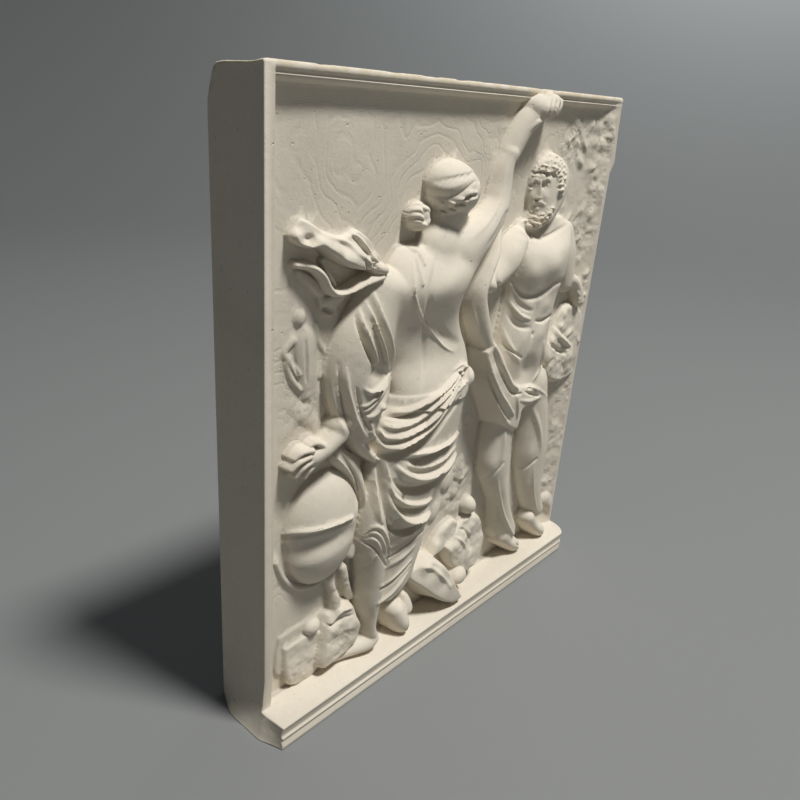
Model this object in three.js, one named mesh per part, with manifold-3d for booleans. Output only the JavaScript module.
// Plaster relief: a framed panel on a projecting ledge, with two standing figures and their setting.
// One cast solid. Millimetres, front towards -Y, standing on its underside, origin at the bottom centre.
import * as THREE from 'three';
import { mergeVertices } from 'three/addons/utils/BufferGeometryUtils.js';
import Module from 'manifold-3d';

// driving dimensions of the panel
const panelWidth = 174;
const panelHeight = 200;
const panelDepth = 23;          // front of the rim to the back
const ledgeDepth = 10.5;        // how far the ledge stands out in front of the rim
const ledgeHeight = 8.3;
const fieldDepth = 5;           // the sunk field behind the rim
const rimWidth = 3.2;
const corniceDrop = 4.5;        // height of the moulding under the top edge
const backRound = 6;            // softened edges at the back
const footFlare = 4.6;          // the left side spreads towards the foot
const ledgeCornerRound = 9;     // rounded right end of the ledge

// where the relief is looked at from, in the panel's own coordinates: right, forward of the rim, up
const eye = { right: -110.6, forward: 143.1, up: 193.6 };

// the carved surface: grid cells across and up, and the faces left when it is thinned
const carveCells = 180;
const carveFaces = 7500;
const buried = -2.5;            // the carved block runs this far behind the field
const sideFall = 7;             // steepness below the widest part of a form

const rimEar = 2.4;             // the upper right of the rim stands out past the side
const earDepth = 7;

const leftEdge = -footFlare;
const rightEdge = panelWidth + rimEar;
const centreX = (leftEdge + rightEdge) / 2;
const centreForward = (ledgeDepth - panelDepth) / 2;

// A layer holds heights in front of the field on a grid over the whole panel.
const stepX = panelWidth / carveCells;
const stepZ = panelHeight / carveCells;
const gridSize = carveCells + 1;

function newLayer() {
  return new Float64Array(gridSize * gridSize).fill(-12);
}

function joinSoftly(a, b, blend) {
  if (blend <= 0) return Math.max(a, b);
  const near = Math.max(blend - Math.abs(a - b), 0) / blend;
  return Math.max(a, b) + near * near * blend * 0.25;
}

function eachCell(x0, x1, z0, z1, visit) {
  const i0 = Math.max(Math.floor(x0 / stepX), 0);
  const i1 = Math.min(Math.ceil(x1 / stepX), carveCells);
  const j0 = Math.max(Math.floor(z0 / stepZ), 0);
  const j1 = Math.min(Math.ceil(z1 / stepZ), carveCells);
  for (let j = j0; j <= j1; j++) {
    for (let i = i0; i <= i1; i++) visit(j * gridSize + i, i * stepX, j * stepZ);
  }
}

// A place seen at u, v on the plane of the rim, moved along the line of sight to its own height.
function seen(u, v, height) {
  const t = (eye.forward + fieldDepth - height) / eye.forward;
  return [eye.right + t * (u - eye.right), eye.up + t * (v - eye.up)];
}

function slant(u) {
  return (u - eye.right) / eye.forward;
}

// Catmull-Rom curve through rows of numbers, one sample a millimetre or so
function smoothRows(rows, gap = 1) {
  const out = [];
  for (let i = 0; i < rows.length - 1; i++) {
    const a = rows[Math.max(i - 1, 0)];
    const b = rows[i];
    const c = rows[i + 1];
    const d = rows[Math.min(i + 2, rows.length - 1)];
    const count = Math.floor(Math.hypot(c[0] - b[0], c[1] - b[1]) / gap) + 1;
    for (let n = 0; n < count; n++) {
      const t = n / count;
      out.push(b.map((_, k) => 0.5 * (2 * b[k] + (c[k] - a[k]) * t
        + (2 * a[k] - 5 * b[k] + 4 * c[k] - d[k]) * t * t
        + (3 * b[k] - a[k] - 3 * c[k] + d[k]) * t * t * t)));
    }
  }
  out.push(rows[rows.length - 1]);
  return out;
}

function dome(square, radius, high) {
  if (square < 1) return high * Math.sqrt(1 - square);
  return -sideFall * (Math.sqrt(square) - 1) * radius;
}

// rows: x, z, base height, half width, half depth
function addLimb(layer, rows, blend) {
  const samples = smoothRows(rows);
  const reach = 2 * Math.max(...samples.map((s) => s[3]));
  const xs = samples.map((s) => s[0]);
  const zs = samples.map((s) => s[1]);
  const box = [Math.min(...xs) - reach, Math.max(...xs) + reach, Math.min(...zs) - reach, Math.max(...zs) + reach];
  eachCell(...box, (cell, x, z) => {
    let best = -99;
    for (const [sx, sz, base, wide, high] of samples) {
      const square = ((x - sx) ** 2 + (z - sz) ** 2) / (wide * wide);
      best = Math.max(best, base + dome(square, wide, high));
    }
    layer[cell] = joinSoftly(layer[cell], best, blend);
  });
}

// rows: u, v, base height, half width, half depth
function limb(layer, blend, rows) {
  addLimb(layer, rows.map(([u, v, base, wide, high]) => [...seen(u, v, base), base, wide, high]), blend);
}

// rows: u of the left foot of the form, u of its right outline, v, ground height, top height
function form(layer, blend, rows) {
  addLimb(layer, rows.map(([left, right, v, ground, top]) => {
    const high = top - ground;
    const wide = right - left;
    const lean = high * slant((left + right) / 2);
    const radius = Math.max((wide * wide - lean * lean) / (2 * wide), 0.22 * wide);
    return [seen(left, v, ground)[0] + radius, seen(0, v, ground + 0.4 * high)[1], ground, radius, high];
  }), blend);
}

function blob(layer, blend, [u, v, base, wide, tall, high, turn = 0]) {
  const [cx, cz] = seen(u, v, base);
  const reach = 2.2 * Math.max(wide, tall);
  const cos = Math.cos(THREE.MathUtils.degToRad(turn));
  const sin = Math.sin(THREE.MathUtils.degToRad(turn));
  eachCell(cx - reach, cx + reach, cz - reach, cz + reach, (cell, x, z) => {
    const a = (x - cx) * cos + (z - cz) * sin;
    const b = (z - cz) * cos - (x - cx) * sin;
    const square = (a / wide) ** 2 + (b / tall) ** 2;
    layer[cell] = joinSoftly(layer[cell], base + dome(square, Math.min(wide, tall), high), blend);
  });
}

// A raised fold, or a groove where its height is negative. rows: u, v, half width, height
function fold(layer, at, rows, skew = 0) {
  const samples = smoothRows(rows.map(([u, v, wide, high]) => [...seen(u, v, at), wide, high]));
  const reach = 1.7 * Math.max(...samples.map((s) => s[2])) + 1;
  const xs = samples.map((s) => s[0]);
  const zs = samples.map((s) => s[1]);
  const box = [Math.min(...xs) - reach, Math.max(...xs) + reach, Math.min(...zs) - reach, Math.max(...zs) + reach];
  eachCell(...box, (cell, x, z) => {
    let best = Infinity;
    let share = 0;
    for (let n = 0; n < samples.length - 1; n++) {
      const [ax, az, aw, ah] = samples[n];
      const [bx, bz, bw, bh] = samples[n + 1];
      const dx = bx - ax;
      const dz = bz - az;
      const t = THREE.MathUtils.clamp(((x - ax) * dx + (z - az) * dz) / (dx * dx + dz * dz + 1e-9), 0, 1);
      const ex = x - ax - t * dx;
      const ez = z - az - t * dz;
      const square = ex * ex + ez * ez;
      if (square < best) {
        best = square;
        const side = Math.sign(dx * ez - dz * ex);
        const wide = (aw + t * (bw - aw)) * (1 - side * skew);
        const s = Math.min(Math.sqrt(square) / wide, 1);
        share = (0.5 + 0.5 * Math.cos(Math.PI * s)) * (ah + t * (bh - ah));
      }
    }
    layer[cell] += share;
  });
}

function hollow(layer, [u, v, at, wide, tall, amount]) {
  const [cx, cz] = seen(u, v, at);
  const reach = 2.6 * Math.max(wide, tall);
  eachCell(cx - reach, cx + reach, cz - reach, cz + reach, (cell, x, z) => {
    layer[cell] += amount * Math.exp(-(((x - cx) / wide) ** 2) - (((z - cz) / tall) ** 2));
  });
}

// right end of a row whose outline is seen at u
function rightEnd(left, u, lowLeft, top, lowRight, round) {
  let near = left + 3;
  let far = left + 90;
  for (let n = 0; n < 30; n++) {
    const right = (near + far) / 2;
    let outline = -Infinity;
    for (let a = 0; a <= Math.PI / 2; a += Math.PI / 80) {
      const cos = Math.cos(a);
      const rise = (1 - cos ** round) ** (1 / round);
      const height = lowLeft + (lowRight - lowLeft) * (cos + 1) / 2 + (top - (lowLeft + lowRight) / 2) * rise;
      const x = (left + right) / 2 + (right - left) / 2 * cos;
      outline = Math.max(outline, eye.right + (x - eye.right) * eye.forward / (eye.forward + fieldDepth - height));
    }
    if (outline < u) near = right;
    else far = right;
  }
  return (near + far) / 2;
}

// A trunk or skirt built from rows across it: v, u left, u right, left height, top height, right height
function body(layer, blend, rows, round = 2.3) {
  const placed = rows.map(([v, uLeft, uRight, lowLeft, top, lowRight]) => {
    const left = seen(uLeft, v, lowLeft)[0];
    const right = rightEnd(left, uRight, lowLeft, top, lowRight, round);
    return [seen(uRight, v, (top + lowLeft) / 2)[1], 0, left, right, lowLeft, top, lowRight];
  });
  const samples = smoothRows(placed).sort((a, b) => a[0] - b[0]);
  const first = samples[0][0];
  const last = samples[samples.length - 1][0];
  const lefts = samples.map((s) => s[2]);
  const rights = samples.map((s) => s[3]);
  eachCell(Math.min(...lefts) - 8, Math.max(...rights) + 8, first - 3, last + 3, (cell, x, z) => {
    let n = 0;
    while (n < samples.length - 2 && samples[n + 1][0] < z) n++;
    const t = THREE.MathUtils.clamp((z - samples[n][0]) / (samples[n + 1][0] - samples[n][0] + 1e-9), 0, 1);
    const [, , left, right, lowLeft, top, lowRight] = samples[n].map((q, k) => q + t * (samples[n + 1][k] - q));
    const across = (2 * x - left - right) / (right - left);
    const inside = Math.min(Math.abs(across), 1);
    let height = lowLeft + (lowRight - lowLeft) * (THREE.MathUtils.clamp(across, -1, 1) + 1) / 2;
    height += (top - (lowLeft + lowRight) / 2) * (1 - inside ** round) ** (1 / round);
    height -= sideFall * Math.max(Math.abs(across) - 1, 0) * (right - left) / 2;
    height -= 3 * (Math.max(first - z, 0) + Math.max(z - last, 0));
    layer[cell] = joinSoftly(layer[cell], height, blend);
  });
}

// A flat piece of cloth or stone with a rounded margin. outline: u, v; heights: u, v, height
function sheet(layer, blend, at, outline, heights, margin, drop) {
  const placed = outline.map(([u, v]) => seen(u, v, at));
  const edge = smoothRows([...placed, placed[0]]);
  const marks = heights.map(([u, v, height]) => [...seen(u, v, height), height]);
  const xs = edge.map((p) => p[0]);
  const zs = edge.map((p) => p[1]);
  eachCell(Math.min(...xs) - 4, Math.max(...xs) + 4, Math.min(...zs) - 4, Math.max(...zs) + 4, (cell, x, z) => {
    let near = Infinity;
    let inside = false;
    for (let n = 0; n < edge.length - 1; n++) {
      const [ax, az] = edge[n];
      const dx = edge[n + 1][0] - ax;
      const dz = edge[n + 1][1] - az;
      const t = THREE.MathUtils.clamp(((x - ax) * dx + (z - az) * dz) / (dx * dx + dz * dz + 1e-9), 0, 1);
      near = Math.min(near, Math.hypot(x - ax - t * dx, z - az - t * dz));
      if ((z >= az) !== (z >= az + dz) && x < ax + (z - az) * dx / dz) inside = !inside;
    }
    let sum = 0;
    let weights = 0;
    for (const [mx, mz, height] of marks) {
      const weight = ((x - mx) ** 2 + (z - mz) ** 2 + 1) ** -1.5;
      sum += weight * height;
      weights += weight;
    }
    const top = sum / weights;
    const e = Math.min(near / margin, 1);
    const height = inside ? top - drop + drop * Math.sqrt(1 - (1 - e) ** 2) : top - drop - 3 * near;
    layer[cell] = joinSoftly(layer[cell], height, blend);
  });
}

// the woman, seen from behind
function carveWoman(layer) {
  // torso from behind
  body(layer, 2.0, [[153, 46, 87, 1, 5.5, 2], [148, 42, 90, 1, 9.0, 3], [143, 40, 88, 1, 11, 4],
    [136, 40, 82.5, 1, 11.6, 4], [130, 41, 82, 1, 11.6, 4], [122, 43, 86, 1.5, 11.2, 4],
    [114, 46, 89, 1.5, 11.2, 4], [106, 47, 91.5, 1.5, 12.0, 4], [99, 46, 92, 1.5, 12.4, 4]], 2.5);
  // neck
  form(layer, 3, [[58, 77, 158, 2.5, 9.5], [55, 80, 150, 2.5, 10]]);
  // near thigh, knee under cloth
  form(layer, 3, [[40, 66, 92, 1.5, 12], [38, 62, 76, 1.5, 12], [36, 57, 64, 2, 12.5],
    [36, 54, 54, 3, 12.5]]);
  // shin and calf
  form(layer, 1.5, [[38, 53, 50, 4, 12], [39, 53, 44, 4, 12], [38, 52, 36, 4, 11.6],
    [37, 47, 27, 4.5, 10.8], [36.5, 45, 18, 5, 10.6], [36, 46, 13, 5, 11]]);
  // foot
  addLimb(layer, [[44.6, 12.2, 6.5, 3.0, 4.6], [41, 12.0, 5.0, 3.0, 4.4],
    [36, 11.5, 3.2, 2.8, 4.2], [31, 10.8, 2.0, 2.4, 3.8], [28, 10.2, 1.4, 1.6, 3.2]], 1.5);
  // skirt body
  body(layer, 2.5, [[104, 46, 92, 1.5, 12.2, 4], [96, 44, 90, 1.5, 12.4, 4],
    [86, 42, 88, 1.5, 11.8, 4], [76, 42, 87, 1.5, 11, 3.5], [66, 44, 82, 2, 10.4, 3],
    [56, 45, 75, 2, 10.2, 3], [46, 47, 72, 2, 10, 3], [38, 47, 67, 2, 9.8, 3], [32, 46.5, 63, 2, 9.4, 3]
    ], 2.2);
  // right foot and heel
  form(layer, 2, [[48, 67, 32, 3, 9.5], [47, 69, 22, 3.5, 10.5], [49, 70, 14, 4, 11.5]]);
  // draped left arm: shoulder, upper arm, elbow, forearm
  form(layer, 3, [[31, 52, 141, 1, 10], [24, 50, 132, 1, 10.6], [21, 50, 122, 1, 10.8],
    [20, 50, 112, 1, 10.6], [23, 47, 104, 1.5, 10], [29, 44, 98, 3, 9.6]]);
  form(layer, 1.5, [[25, 35, 105, 3, 8.2], [22.5, 33, 101, 3, 8]]);
  limb(layer, 1, [[25.5, 99, 4, 2.2, 3.4], [20, 96.5, 3.6, 2.3, 3.2], [16, 95.6, 3.2, 2.0, 2.8]]);
  limb(layer, 0.5, [[16, 97, 4.4, 0.9, 1.6], [12.5, 96.6, 4.0, 0.8, 1.4], [9.6, 95.4, 3.4, 0.65, 1.1]]);
  limb(layer, 0.5, [[16, 95.2, 4.4, 0.9, 1.6], [12.8, 94.4, 4.0, 0.8, 1.4], [10.2, 93, 3.4, 0.65, 1.1]]);
  limb(layer, 0.5, [[17.5, 93.8, 4.4, 0.9, 1.6], [15, 92.8, 4.0, 0.8, 1.4], [12.7, 91.2, 3.6, 0.65, 1.1]]);
  limb(layer, 0.5, [[20.5, 94, 4.4, 0.9, 1.6], [18, 92.6, 4.0, 0.8, 1.4], [15.7, 90.9, 3.6, 0.65, 1.1]]);
  drapeFolds(layer);
}

function drapeFolds(layer) {
  // hip roll and swag
  fold(layer, 12, [[45, 100, 3.4, 0.2], [52, 99, 3.6, 1.5], [62, 97, 3.8, 1.8], [74, 98, 3.6, 1.6],
    [85, 103, 3.4, 1.4], [91, 107, 3, 0.6]]);
  fold(layer, 12, [[44, 95, 3.0, 0.3], [50, 90.5, 3.2, 2.0], [60, 88, 3.4, 2.4], [69, 89.5, 3.4, 2.2],
    [78, 95, 3.2, 1.8], [87, 102, 3, 1.0]], 0.2);
  fold(layer, 12, [[43, 90, 2.4, 0.2], [50, 86, 2.6, 1.0], [60, 84, 2.6, 1.2], [72, 86, 2.6, 1.0],
    [84, 94, 2.4, 0.4]], 0.2);
  // swags across the skirt
  const swags = [
    [[62, 82, 2.4, 0], [70, 80, 2.6, 1.3], [78, 78.5, 2.6, 1.6], [84, 79, 2.4, 1.4], [89, 82, 2, 0.6]],
    [[58, 79, 2.6, 0], [65, 73, 3.0, 1.6], [72, 69.5, 3.0, 2.0], [80, 68.5, 2.8, 2.0],
    [86, 70, 2.4, 1.4], [89, 72.5, 2, 0.6]],
    [[55, 74, 2.6, 0], [60, 66, 2.8, 1.6], [66, 61.8, 2.8, 2.0], [72, 59, 2.6, 2.0],
    [76, 58.5, 2.2, 1.2]],
    [[52, 72, 2.4, 0], [57, 63, 2.6, 1.4], [62, 57, 2.6, 1.8], [68, 53, 2.6, 2.0], [74, 52, 2.2, 1.4]],
    [[55, 45.5, 2.2, 0.4], [62, 46.2, 2.4, 1.4], [69, 48.2, 2.4, 1.4], [74, 50, 2, 0.6]],
    [[50, 40, 2.2, 0.4], [58, 38.5, 2.4, 1.2], [66, 40, 2.2, 0.8]],
    [[47, 70, 2.2, 0], [51, 60, 2.4, 1.4], [54, 50, 2.4, 1.4], [54, 42, 2.2, 0.6]],
  ];
  for (const swag of swags) fold(layer, 10.5, swag, 0.35);
  // knee drape
  form(layer, 1.5, [[38, 50, 58, 5, 13.2], [37, 53.5, 54, 5, 13.4], [36.5, 52, 49, 5, 13]]);
  fold(layer, 12.5, [[40, 57.5, 1.6, 0.3], [46, 55, 1.8, 1.2], [50, 50, 1.8, 1.2], [53, 44, 1.6, 0.3]
    ], 0.2);
  fold(layer, 12.5, [[38, 52, 1.4, 0.2], [42, 48, 1.6, 0.9], [46, 46, 1.6, 0.9], [49, 45.5, 1.4, 0.2]
    ], 0.2);
  // hip knot
  blob(layer, 1.2, [87, 104.5, 6.5, 3.4, 4.2, 5.6, -30]);
  // sleeve bundle and falling folds
  fold(layer, 10.5, [[33, 138, 2.2, 0.3], [40, 130, 2.6, 1.6], [45, 123, 2.6, 1.8], [48, 116, 2.2, 0.8]
    ], 0.2);
  fold(layer, 10.5, [[38, 141.5, 2.0, 0.3], [43, 135, 2.2, 1.4], [47, 128, 2.2, 1.6],
    [50, 121, 2.0, 1.2], [50, 114, 1.8, 0.4]], 0.2);
  fold(layer, 10, [[22, 118, 2.4, 0.3], [24, 110, 2.6, 1.4], [27, 104, 2.6, 1.2], [31, 98, 2.2, 0.3]]);
  fold(layer, 10.5, [[28, 122, 2.4, 0.3], [30, 112, 2.8, 1.6], [34, 103, 2.8, 1.6], [40, 95, 2.6, 1.0],
    [46, 88, 2, 0.2]]);
  fold(layer, 10.5, [[50, 114, 2, 0.4], [44, 108, 2.4, 1.2], [37, 105, 2.2, 0.6]]);
  // neck to hem folds of the near side
  fold(layer, 11, [[37, 98, 2.6, 0.3], [40, 88, 3, 1.4], [42, 76, 3, 1.4], [42, 64, 2.6, 0.4]]);
}

function carveRaisedArm(layer) {
  form(layer, 2, [[66, 91, 148, 3, 11], [76, 96, 153, 3, 10.6], [85, 103, 159, 3, 9.6],
    [90, 105, 165, 2.5, 8.6], [92, 103.5, 171, 2.5, 7.8], [92.5, 103, 177, 2.5, 7.4],
    [95, 106, 183, 2.5, 7.4]]);
  limb(layer, 1.5, [[101, 183, 4.2, 3.2, 3.5], [106, 188.5, 5.0, 2.9, 3.2], [111, 191.5, 6.0, 2.8, 2.8]]);
  blob(layer, 1.5, [115.5, 193.6, 6.4, 4.2, 3.4, 3.2, 12]);
  blob(layer, 1.2, [121.5, 195, 6.4, 3.6, 2.6, 2.6, 10]);
}

function carveHead(layer) {
  blob(layer, 2, [68.6, 169.3, 2.6, 11.2, 8.8, 9.6, -16]);
  blob(layer, 2.5, [73, 162, 3, 7.4, 6.2, 7.6]);
  blob(layer, 1, [55, 162.5, 1.0, 3.8, 4.4, 4.6]);
}

function carveMan(layer) {
  body(layer, 2, [[157, 107, 140, 0.5, 5.6, 1], [152, 103, 149, 0.5, 9.0, 1.0],
    [145, 103, 151, 0.5, 10.8, 1.2], [137, 104, 149.5, 0.5, 10.9, 1.2], [128, 105, 146, 0.5, 9.6, 1.2],
    [120, 103, 143.5, 0.5, 9.2, 1], [112, 103, 142, 0.5, 9.2, 1], [104, 103, 141, 0.5, 9, 1],
    [96, 105, 141, 0.5, 8.4, 1], [88, 107, 143, 0.5, 8, 1]], 2.3);
  form(layer, 2.5, [[113, 136, 160, 1, 8.2], [111, 138, 153, 1, 7.8]]);
  blob(layer, 2, [125.5, 168.3, 2.2, 9.4, 8.2, 8.8]);
  blob(layer, 1.8, [125, 159, 4.4, 5.4, 4.9, 5.4]);
  blob(layer, 3, [117.5, 141, 4.6, 6.2, 5.2, 6.0, -8]);
  blob(layer, 3, [137, 140, 4.4, 6.6, 5.2, 5.8, 8]);
  // his right arm (viewer's left), then the left one
  form(layer, 2, [[96, 119, 151, 1, 9], [89, 108, 143, 1, 9], [83, 99, 133, 1.5, 9],
    [84, 99, 125, 2, 9], [88, 101, 117, 2.5, 9.2], [92, 103, 110, 3, 9.2]]);
  form(layer, 2, [[137, 152.5, 149, 0.5, 7.4], [143, 157, 142, 0.5, 7.2], [148, 160, 134, 0.5, 7.0],
    [150, 163, 126, 0.8, 7.2], [152, 166, 118, 1, 7.6]]);
  // legs
  form(layer, 2, [[105, 131, 90, 0.8, 9.4], [101, 130, 80, 0.8, 9.6], [100, 127, 70, 0.8, 9.6],
    [101, 124, 60, 1, 9.6], [102, 124, 50, 1, 9.4], [107, 128, 40, 1, 9.4], [114, 134, 28, 1.4, 8.8],
    [121, 138, 18, 1.8, 8.4], [126, 142, 11, 2.6, 8.4]]);
  form(layer, 2, [[122, 150, 88, 0.5, 8.6], [126, 152, 78, 0.5, 9], [127, 156, 66, 0.5, 9],
    [130, 158, 54, 0.8, 9], [134, 160, 44, 1, 8.8], [141, 162, 34, 1, 8.2], [148, 165, 22, 1.4, 7.8],
    [152, 168, 13, 2, 8]]);
  addLimb(layer, [[132, 14, 2, 3.2, 5.5], [134.5, 11, 2.4, 3.0, 5.6], [136.2, 9.4, 2.6, 2.6, 5.2]], 1.5);
  addLimb(layer, [[152.5, 15, 3, 3.0, 6], [155, 12, 4.4, 3.0, 6.8], [156.6, 9.8, 5.6, 2.8, 6.6]], 1.5);
  manDetail(layer);
}

function manDetail(layer) {
  // hip cloth
  sheet(layer, 1.0, 9, [[101, 110], [106, 113], [112, 105], [118, 98], [124, 91], [130, 89], [137, 88],
    [145, 83], [150, 79], [140, 79.5], [131, 79.5], [128, 71], [121, 74], [114, 80], [108, 88],
    [102, 99]], [
    [104, 108, 9.4], [112, 96, 10.6], [122, 84, 11], [127, 76, 10.6], [135, 84, 10.2], [146, 80, 8.4]
    ], 1.6, 2.0);
  fold(layer, 10.5, [[104, 112, 1.6, 0.3], [112, 104, 1.8, 1.2], [118, 97, 1.8, 1.4],
    [125, 90.5, 1.8, 1.2], [136, 88, 1.6, 1.0], [146, 82, 1.2, 0.4]], 0.2);
  fold(layer, 10.5, [[104, 104, 2, 0.2], [110, 93, 2.2, 1.0], [117, 83, 2.2, 1.0], [124, 75, 1.8, 0.4]
    ], 0.2);
  fold(layer, 10.5, [[122, 90, 1.6, 0.2], [124, 82, 1.8, 0.9], [128, 74, 1.6, 0.6]], 0.2);
  // chest, ribs, belly
  fold(layer, 10.5, [[111, 137, 1.8, 0.2], [118, 131.5, 2, -1.0], [126, 128, 2, -1.2],
    [134, 127.6, 2, -1.2], [142, 129.5, 2, -1.0], [148, 132, 1.6, -0.2]]);
  fold(layer, 10, [[125.5, 150, 1.6, -0.2], [126, 140, 1.6, -0.9], [127, 131, 1.4, -0.4]]);
  fold(layer, 10, [[127, 126, 1.6, -0.5], [126, 115, 1.6, -0.9], [124, 105, 1.6, -0.3]]);
  fold(layer, 10, [[112, 124, 1.4, -0.2], [119, 119, 1.6, -0.7], [127, 117, 1.6, -0.7],
    [135, 119, 1.6, -0.6], [142, 121, 1.4, -0.2]]);
  hollow(layer, [131, 92, 9, 4.5, 6, -2.2]);
  // hand at the hip and the raised one
  blob(layer, 1, [96, 107.5, 5.6, 3.0, 3.4, 3.6, 20]);
  blob(layer, 1, [163, 121, 3.6, 3.6, 4.4, 4.2]);
  blob(layer, 1, [160, 112, 3, 3.4, 3.4, 4]);
}

function carveSetting(layer) {
  // flying cloth behind the shoulder
  limb(layer, 1.0, [[10, 162, 0.5, 2.2, 3.4], [17, 158.5, 0.8, 2.8, 4.6], [25, 156, 1, 3.1, 5.6],
    [33, 153.5, 1.4, 3.0, 6.2], [40, 149.8, 2, 2.4, 6.4]]);
  limb(layer, 0.8, [[10, 151.5, 0.4, 1.8, 3.0], [15, 148.6, 0.6, 2.2, 4.2], [22, 146, 0.8, 2.2, 4.8],
    [30, 147, 1, 2.0, 5.2], [38, 148, 2, 2, 6]]);
  limb(layer, 0.8, [[17, 143, 0.4, 1.8, 3.4], [21, 140.5, 0.6, 2.0, 4.0], [25, 140, 0.6, 1.6, 3.4]]);
  blob(layer, 0.8, [39, 149, 3, 3.6, 2.4, 5, -10]);
  // small standing figure at the far left
  blob(layer, 0.6, [11.5, 138.5, 0.5, 2.7, 3.2, 3.6]);
  limb(layer, 1, [[12, 134, 0.5, 3.2, 3.2], [15, 127, 0.5, 4.0, 3.8], [16, 119, 0.5, 3.6, 3.6]]);
  limb(layer, 0.6, [[8, 132, 0.5, 1.6, 3], [5.6, 127.5, 0.5, 1.4, 3], [8.5, 123, 0.5, 1.4, 3.2],
    [12.5, 119.5, 0.6, 1.4, 3.2]]);
  limb(layer, 0.6, [[19, 133, 0.4, 1.5, 3], [22, 127, 0.4, 1.6, 3.2], [20, 121, 0.4, 1.5, 3]]);
  limb(layer, 1, [[9, 114, 0.2, 3, 1.8], [14, 108, 0.2, 3.4, 2.2], [12, 101, 0.2, 3, 1.6]]);
  // globe with its ring and meridian band
  form(layer, 1.0, [[22, 30, 92, 0.5, 4.6], [28, 37, 86, 0.5, 5.2], [33, 41.5, 79, 0.5, 5.6],
    [36, 43, 71, 0.5, 5.6], [35, 42, 62, 0.5, 5.2], [31, 38, 53, 0.5, 4.4]]);
  blob(layer, 0.5, [20.3, 70.3, -1.5, 17.6, 21.3, 8]);
  fold(layer, 6, [[2.5, 74, 1.3, 1.5], [10, 72, 1.3, 1.6], [20, 68.6, 1.3, 1.6], [28, 66.8, 1.3, 1.6],
    [36, 67, 1.3, 1.2]]);
  // stand of the globe
  limb(layer, 1, [[22, 46, 0.5, 3, 3.6], [23, 38, 0.6, 2.6, 4]]);
  blob(layer, 1, [30, 36, 0.6, 3.4, 3.6, 4]);
  // blocks and boulders, lower left
  limb(layer, 0.6, [[6, 33, 0.2, 3, 4], [14, 33, 0.2, 3, 4]]);
  blob(layer, 1.5, [11, 22, 0.5, 9, 9, 6.4]);
  blob(layer, 1.5, [29, 24, 0.8, 7, 8, 7.4]);
  // forms between the figures
  blob(layer, 1, [98.5, 47, 0.8, 3.6, 5.2, 6]);
  blob(layer, 1.5, [97, 30, 0.8, 7, 10, 7.2]);
  blob(layer, 1, [102, 17, 1.5, 5, 6, 7.6]);
  blob(layer, 1.5, [84, 40, 0.5, 8, 9, 4.8, 20]);
  // sloping slab of rock over the ledge
  sheet(layer, 1, 9, [[58, 33], [68, 33], [80, 31], [92, 24], [104, 10], [108, 0], [100, -3], [92, 2],
    [82, 10], [72, 20], [64, 27]], [
    [62, 32, 6], [74, 26, 8.6], [86, 16, 11.6], [98, 4, 13.6], [100, 14, 12], [84, 29, 8.6]], 2, 6);
  // trunk and leaves at the right
  limb(layer, 0.8, [[149, 196, 0.3, 2.2, 2.6], [148, 180, 0.4, 2.0, 3], [147, 164, 0.4, 1.8, 2.6]]);
  const leaves = [[141, 192, 3.4, 3.6], [138, 184, 3, 3.2], [142, 176, 3, 3.2], [157, 189, 3.4, 3],
    [163, 184, 3.4, 3.2], [160, 176, 2.6, 2.6], [160, 158, 3.4, 3], [165, 166, 2.8, 2.4],
    [166, 192, 3, 2.6], [161, 146, 2.6, 2.4]];
  for (const [u, v, wide, high] of leaves) blob(layer, 0.6, [u, v, 0.2, wide, 1.3 * wide, high, 20]);
  // rock at his left side
  blob(layer, 1, [158, 99, 0.6, 6.4, 6, 6.4, -20]);
  blob(layer, 1, [166, 95, 0.6, 3.4, 4.6, 6.8]);
  blob(layer, 1, [147, 104, 0.6, 5, 4, 5]);
}


// A heap that gives back the cheapest entry first; entries are [cost, from, to, stampFrom, stampTo]
class CheapestFirst {
  items = [];
  push(item) {
    const items = this.items;
    let n = items.push(item) - 1;
    while (n > 0) {
      const up = (n - 1) >> 1;
      if (items[up][0] <= item[0]) break;
      items[n] = items[up];
      n = up;
    }
    items[n] = item;
  }
  pop() {
    const items = this.items;
    const first = items[0];
    const last = items.pop();
    if (items.length === 0) return first;
    let n = 0;
    for (;;) {
      let low = 2 * n + 1;
      if (low >= items.length) break;
      if (low + 1 < items.length && items[low + 1][0] < items[low][0]) low++;
      if (items[low][0] >= last[0]) break;
      items[n] = items[low];
      n = low;
    }
    items[n] = last;
    return first;
  }
}

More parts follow.
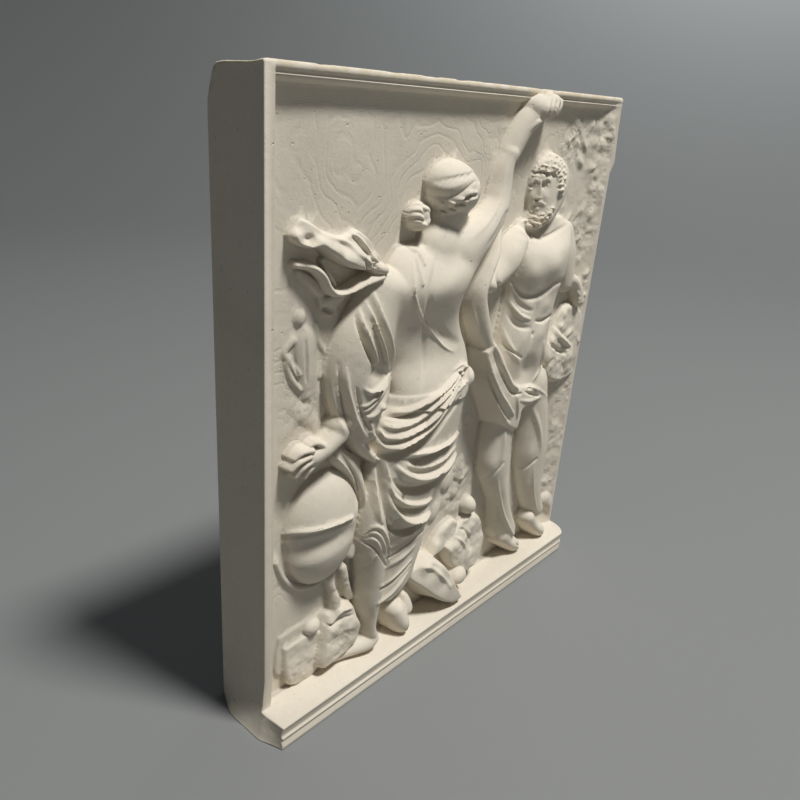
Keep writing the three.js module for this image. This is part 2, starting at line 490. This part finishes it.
// Merges neighbouring points of a height surface, least change first, until few enough faces are left.
// points: [x, z, height]; every face stays turned forwards, so the surface never folds over itself.
function thinSurface(points, faces, wanted) {
  const planes = points.map(() => new Float64Array(10));
  const around = points.map(() => new Set());
  const stamp = new Int32Array(points.length);
  const gone = new Uint8Array(faces.length);
  const planArea = (a, b, c) => (b[0] - a[0]) * (c[1] - a[1]) - (b[1] - a[1]) * (c[0] - a[0]);
  faces.forEach(([p, q, r], face) => {
    const [a, b, c] = [points[p], points[q], points[r]];
    const u = [b[0] - a[0], b[1] - a[1], b[2] - a[2]];
    const v = [c[0] - a[0], c[1] - a[1], c[2] - a[2]];
    const n = [u[1] * v[2] - u[2] * v[1], u[2] * v[0] - u[0] * v[2], u[0] * v[1] - u[1] * v[0]];
    const size = Math.hypot(...n);
    const e = [...n.map((w) => w / size), 0];
    e[3] = -(e[0] * a[0] + e[1] * a[1] + e[2] * a[2]);
    for (const corner of [p, q, r]) {
      around[corner].add(face);
      let k = 0;
      for (let i = 0; i < 4; i++) for (let j = i; j < 4; j++) planes[corner][k++] += e[i] * e[j] * size;
    }
  });
  const side = points.map(([x, z]) => (x <= 0 ? 1 : 0) + (x >= panelWidth ? 2 : 0)
    + (z <= 0 ? 4 : 0) + (z >= panelHeight ? 8 : 0));
  function strain(p, q, [x, z, h]) {
    const s = planes[p].map((w, k) => w + planes[q][k]);
    const total = s[0] * x * x + 2 * s[1] * x * z + 2 * s[2] * x * h + 2 * s[3] * x + s[4] * z * z
      + 2 * s[5] * z * h + 2 * s[6] * z + s[7] * h * h + 2 * s[8] * h + s[9];
    return Math.abs(total) + 1e-6 * ((points[p][0] - points[q][0]) ** 2 + (points[p][1] - points[q][1]) ** 2);
  }
  function bestSpot(p, q) {
    const keepP = (side[p] & side[q]) === side[q];
    const keepQ = (side[p] & side[q]) === side[p];
    const spots = [];
    if (keepP) spots.push(points[p]);
    if (keepQ) spots.push(points[q]);
    if (keepP && keepQ) spots.push(points[p].map((w, k) => (w + points[q][k]) / 2));
    return spots.map((spot) => [strain(p, q, spot), spot]).sort((a, b) => a[0] - b[0])[0];
  }
  const queue = new CheapestFirst();
  function offer(p, q) {
    const best = bestSpot(p, q);
    if (best) queue.push([best[0], p, q, stamp[p], stamp[q]]);
  }
  const neighbours = (p) => new Set([...around[p]].flatMap((face) => faces[face]).filter((q) => q !== p));
  points.forEach((_, p) => {
    for (const q of neighbours(p)) if (p < q) offer(p, q);
  });
  let left = faces.length;
  while (left > wanted && queue.items.length > 0) {
    const [, p, q, stampP, stampQ] = queue.pop();
    if (stamp[p] !== stampP || stamp[q] !== stampQ) continue;
    const shared = [...around[p]].filter((face) => around[q].has(face));
    const nearQ = neighbours(q);
    const common = [...neighbours(p)].filter((r) => nearQ.has(r));
    if (shared.length === 0 || common.length !== shared.length) continue;
    const spot = bestSpot(p, q)[1];
    const turned = [...around[p], ...around[q]].some((face) => !shared.includes(face)
      && planArea(...faces[face].map((r) => (r === p || r === q ? spot : points[r]))) < 0.004);
    if (turned) continue;
    for (const face of shared) {
      gone[face] = 1;
      for (const r of faces[face]) around[r].delete(face);
      left--;
    }
    for (const face of around[q]) {
      faces[face] = faces[face].map((r) => (r === q ? p : r));
      around[p].add(face);
    }
    around[q].clear();
    points[p] = spot;
    side[p] |= side[q];
    planes[p].forEach((w, k) => { planes[p][k] = w + planes[q][k]; });
    stamp[q] = -1;
    stamp[p]++;
    for (const r of neighbours(p)) offer(Math.min(p, r), Math.max(p, r));
  }
  return faces.filter((_, face) => !gone[face]);
}

// panel coordinates (right, forward of the rim plane, up) to the part's own frame
function toPart(right, forward, up) {
  return [right - centreX, centreForward - forward, up];
}

// closed block whose front is the carved surface and whose back is buried in the panel
function carvedBlock(layer) {
  const points = [];
  const grid = [];
  for (let j = 0; j <= carveCells; j++) {
    for (let i = 0; i <= carveCells; i++) {
      points.push([i * stepX, j * stepZ, Math.max(layer[j * gridSize + i], buried)]);
      if (i === carveCells || j === carveCells) continue;
      const n = j * gridSize + i;
      if ((i + j) % 2) grid.push([n, n + 1, n + gridSize], [n + 1, n + gridSize + 1, n + gridSize]);
      else grid.push([n, n + 1, n + gridSize + 1], [n, n + gridSize + 1, n + gridSize]);
    }
  }
  const faces = thinSurface(points, grid, carveFaces);
  const positions = [];
  const index = [];
  const stores = [new Map(), new Map()];
  const inset = 0.6;
  function corner(point, deep = 0) {
    if (!stores[deep].has(point)) {
      stores[deep].set(point, positions.length / 3);
      const x = THREE.MathUtils.clamp(points[point][0], inset, panelWidth - 2 * inset);
      const z = THREE.MathUtils.clamp(points[point][1], inset, panelHeight - inset);
      const height = deep ? buried - 4 : points[point][2];
      positions.push(...toPart(x, height - fieldDepth, z));
    }
    return stores[deep].get(point);
  }
  const directed = new Set();
  for (const [a, b, c] of faces) {
    index.push(corner(a), corner(b), corner(c));
    for (const [p, q] of [[a, b], [b, c], [c, a]]) directed.add(p * points.length + q);
  }
  const middle = positions.length / 3;
  positions.push(...toPart(panelWidth / 2, buried - 4 - fieldDepth, panelHeight / 2));
  for (const code of directed) {
    const p = Math.floor(code / points.length);
    const q = code % points.length;
    if (directed.has(q * points.length + p)) continue;
    index.push(corner(q), corner(p), corner(p, 1));
    index.push(corner(q), corner(p, 1), corner(q, 1));
    index.push(corner(q, 1), corner(p, 1), middle);
  }
  const geometry = new THREE.BufferGeometry();
  geometry.setAttribute('position', new THREE.Float32BufferAttribute(positions, 3));
  geometry.setIndex(index);
  return geometry;
}

// solid made by pushing an outline in (a, b) along a third direction; place maps to panel coordinates
function pushed(outline, from, to, place) {
  const shape = new THREE.Shape(outline.map(([a, b]) => new THREE.Vector2(a, b)));
  const geometry = new THREE.ExtrudeGeometry(shape, { depth: to - from, bevelEnabled: false });
  const spots = geometry.attributes.position;
  for (let n = 0; n < spots.count; n++) {
    const panel = place(spots.getX(n), spots.getY(n), spots.getZ(n) + from);
    spots.setXYZ(n, ...toPart(...panel));
  }
  return geometry;
}

const acrossPanel = (forward, up, right) => [right, forward, up];
const throughPanel = (right, up, forward) => [right, forward, up];
const upPanel = (right, forward, up) => [right, forward, up];

// quarter turn of an edge as a few points, from one direction to the other
function rounded(centreA, centreB, radiusA, radiusB, from, to, steps = 5) {
  const points = [];
  for (let n = 0; n <= steps; n++) {
    const angle = from + (to - from) * n / steps;
    points.push([centreA + radiusA * Math.cos(angle), centreB + radiusB * Math.sin(angle)]);
  }
  return points;
}

const wasm = await Module();
wasm.setup();

// closed mesh for the boolean library, turned right way out
function solid(geometry) {
  const bare = new THREE.BufferGeometry();
  bare.setAttribute('position', geometry.attributes.position.clone());
  if (geometry.index) bare.setIndex(geometry.index.clone());
  const merged = mergeVertices(bare, 1e-4);
  const spots = merged.attributes.position;
  const order = merged.index;
  let volume = 0;
  const [a, b, c] = [new THREE.Vector3(), new THREE.Vector3(), new THREE.Vector3()];
  for (let n = 0; n < order.count; n += 3) {
    a.fromBufferAttribute(spots, order.getX(n));
    b.fromBufferAttribute(spots, order.getX(n + 1));
    c.fromBufferAttribute(spots, order.getX(n + 2));
    volume += a.dot(b.cross(c));
  }
  const triVerts = new Uint32Array(order.array);
  if (volume < 0) {
    for (let n = 0; n < triVerts.length; n += 3) [triVerts[n], triVerts[n + 1]] = [triVerts[n + 1], triVerts[n]];
  }
  const vertProperties = new Float32Array(spots.array);
  return new wasm.Manifold(new wasm.Mesh({ numProp: 3, vertProperties, triVerts }));
}

// the panel with its softened back edges, spread foot, ledge and rounded ledge end
function makePanel() {
  const side = [
    [ledgeDepth, 0], [ledgeDepth, 1.2], [ledgeDepth - 0.8, 3.4], [ledgeDepth - 0.3, 4], [ledgeDepth - 1, 4.6],
    [ledgeDepth - 0.4, ledgeHeight], [-fieldDepth - 0.5, ledgeHeight], [-fieldDepth - 0.5, panelHeight - corniceDrop],
    [0, panelHeight - corniceDrop], [0, panelHeight], [-3.4, panelHeight - 0.8],
    ...rounded(backRound - panelDepth, panelHeight - 1 - 3, backRound, 3, Math.PI / 2, Math.PI),
    ...rounded(2 - panelDepth, 3, 2, 3, Math.PI, 1.5 * Math.PI),
  ];
  const ends = [
    [0, 20], [-0.2 * footFlare, 10], [-0.5 * footFlare, 5], [-footFlare, 0], [panelWidth - 0.6, 0],
    [panelWidth, 8], [panelWidth - 0.8, 90], [panelWidth, panelHeight], [0.6, panelHeight], [0, panelHeight - 1.5],
  ];
  const ear = [
    [panelWidth - 2, 173], [rightEdge - 0.6, 174.5], [rightEdge, 176], [rightEdge - 1.6, 188],
    [panelWidth - 0.1, panelHeight - 0.2], [panelWidth - 2, panelHeight - 1],
  ];
  const plan = [
    [-0.3 * footFlare, ledgeDepth],
    ...rounded(panelWidth - ledgeCornerRound, ledgeDepth - 4, ledgeCornerRound + 0.2, 4, Math.PI / 2, 0, 4),
    [rightEdge, 0], [rightEdge, -panelDepth + 2], [rightEdge - 2, -panelDepth], [1, -panelDepth],
    [-0.5 * footFlare, 3 - panelDepth], [-footFlare, 8 - panelDepth], [-footFlare, -4], [-0.8 * footFlare, 4],
  ];
  const profile = solid(pushed(side, leftEdge - 1, rightEdge + 1, acrossPanel));
  const face = solid(pushed(ends, -panelDepth - 1, ledgeDepth + 1, throughPanel));
  const footprint = solid(pushed(plan, -1, panelHeight + 1, upPanel));
  const panel = profile.intersect(face).intersect(footprint);
  return panel.add(solid(pushed(ear, -earDepth, -0.1, throughPanel)));
}

// rim strips, moulding and floor of the sunk field
function makeFrame() {
  const depth = -fieldDepth;
  const leftRim = [[0.05, depth - 1], [0.05, 0], [rimWidth - 0.4, -0.3], [rimWidth + 1, -2.2], [rimWidth + 2.4, depth - 1]];
  const rightRim = leftRim.map(([right, forward]) => [panelWidth - 0.6 - 0.8 * right, forward]).reverse();
  const cornice = [
    [depth - 1, 189.5], [depth + 0.7, 191.2], [-3.2, 193.4], [-2.9, 195.4], [-0.9, 196.2], [-0.5, 197.2],
    [-1, 197.5], [-0.6, 197.9], [-0.1, 198.4], [-0.1, 199.6], [depth - 1, 199.6],
  ];
  const strips = [
    solid(pushed(leftRim, ledgeHeight - 1, panelHeight - 0.5, upPanel)),
    solid(pushed(rightRim, ledgeHeight - 1, panelHeight - 0.5, upPanel)),
    solid(pushed(cornice, 0.1, panelWidth - 0.7, acrossPanel)),
  ];
  return strips.reduce((whole, strip) => whole.add(strip));
}

function carveAll() {
  const ground = newLayer();
  carveSetting(ground);
  const figures = [[carveMan, 0.8], [carveWoman, 0.5], [carveHead, 0.8], [carveRaisedArm, 1]];
  for (const [carve, blend] of figures) {
    const layer = newLayer();
    carve(layer);
    for (let n = 0; n < ground.length; n++) ground[n] = joinSoftly(ground[n], layer[n], blend);
  }
  return ground;
}

function makeRelief() {
  const shape = makePanel().add(makeFrame()).add(solid(carvedBlock(carveAll())));
  const { vertProperties, triVerts } = shape.getMesh();
  const geometry = new THREE.BufferGeometry();
  geometry.setAttribute('position', new THREE.BufferAttribute(new Float32Array(vertProperties), 3));
  geometry.setIndex(new THREE.BufferAttribute(new Uint32Array(triVerts), 1));
  geometry.computeVertexNormals();
  return geometry;
}

const plaster = new THREE.MeshStandardMaterial({ color: 0xddd8cb, roughness: 0.85, metalness: 0 });
const relief = new THREE.Mesh(makeRelief(), plaster);
relief.name = 'relief_panel';

const group = new THREE.Group();
group.name = 'plaster_relief';
group.add(relief);
export default group;
